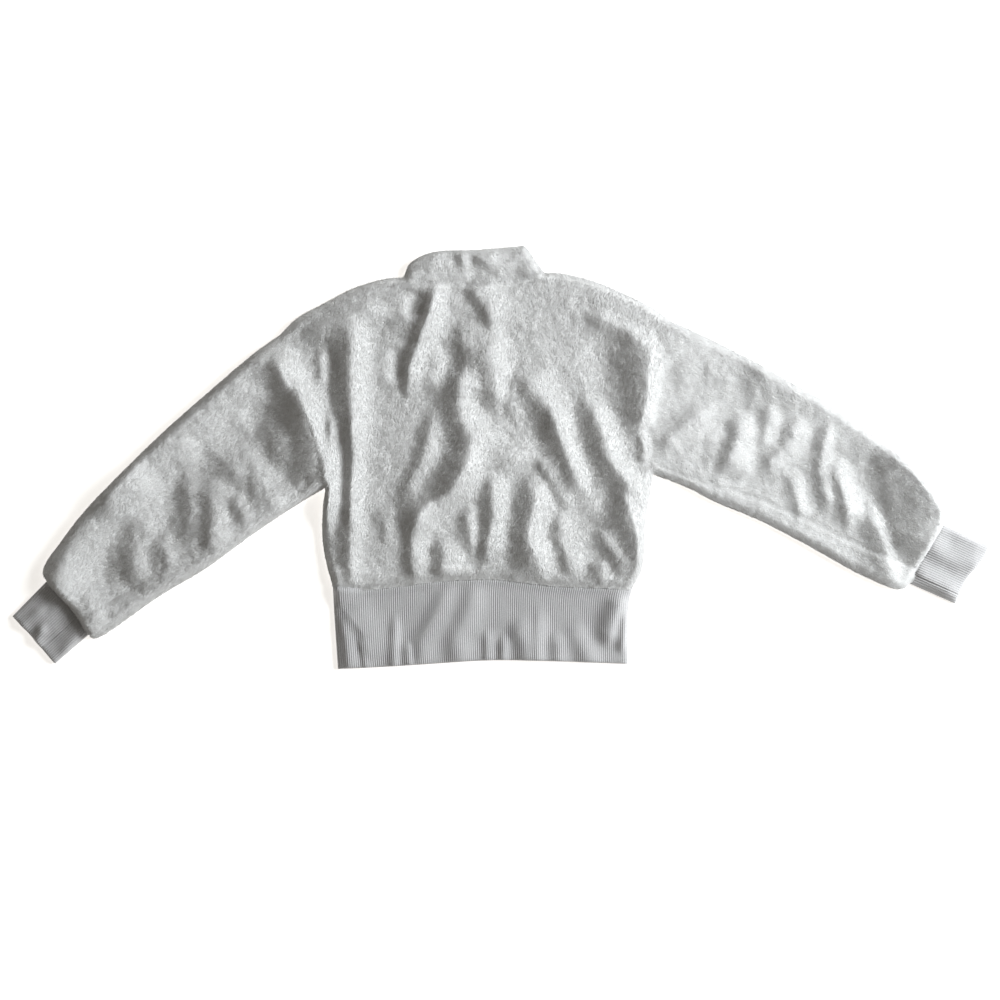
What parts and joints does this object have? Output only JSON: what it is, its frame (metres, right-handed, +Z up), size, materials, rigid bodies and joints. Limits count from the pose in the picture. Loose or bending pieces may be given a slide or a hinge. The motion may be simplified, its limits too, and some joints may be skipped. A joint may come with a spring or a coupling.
{
  "type": "sherpa fleece jacket",
  "caption": "Zip-up bomber jacket in cream sherpa fleece with a stand collar and ribbed hem and cuffs, laid flat face down with its sleeves spread.",
  "frame": {"origin": "on the surface that the jacket lies on, below the middle of its outline", "axes": "+X towards the wearer's right sleeve, +Y from hem to collar, +Z up from the surface, out of the jacket's back"},
  "size_m": [1.3463, 0.5856, 0.029],
  "materials": {
    "fleece": "curly deep pile",
    "rib": "rib knit",
    "tape": "woven tape",
    "zip_metal": "satin"
  },
  "bodies": {
    "garment": {"back": "fleece", "front_left": "fleece", "front_right": "fleece", "sleeve_left": "fleece", "sleeve_right": "fleece", "collar": "fleece", "hem_rib": "rib", "cuff_left": "rib", "cuff_right": "rib", "zip_tape_left": "tape", "zip_tape_right": "tape", "zip_teeth_left": "zip_metal", "zip_teeth_right": "zip_metal", "slider": "zip_metal"},
    "zip_pull": {"pull_tab": "zip_metal"}
  },
  "joints": [
    {"name": "pull_tab_hinge", "type": "hinge", "parent": "garment", "child": "zip_pull", "pos_m": [-0.029, 0.207, 0.0011], "axis": [1, 0, 0], "range_deg": [0, 180]}
  ]
}
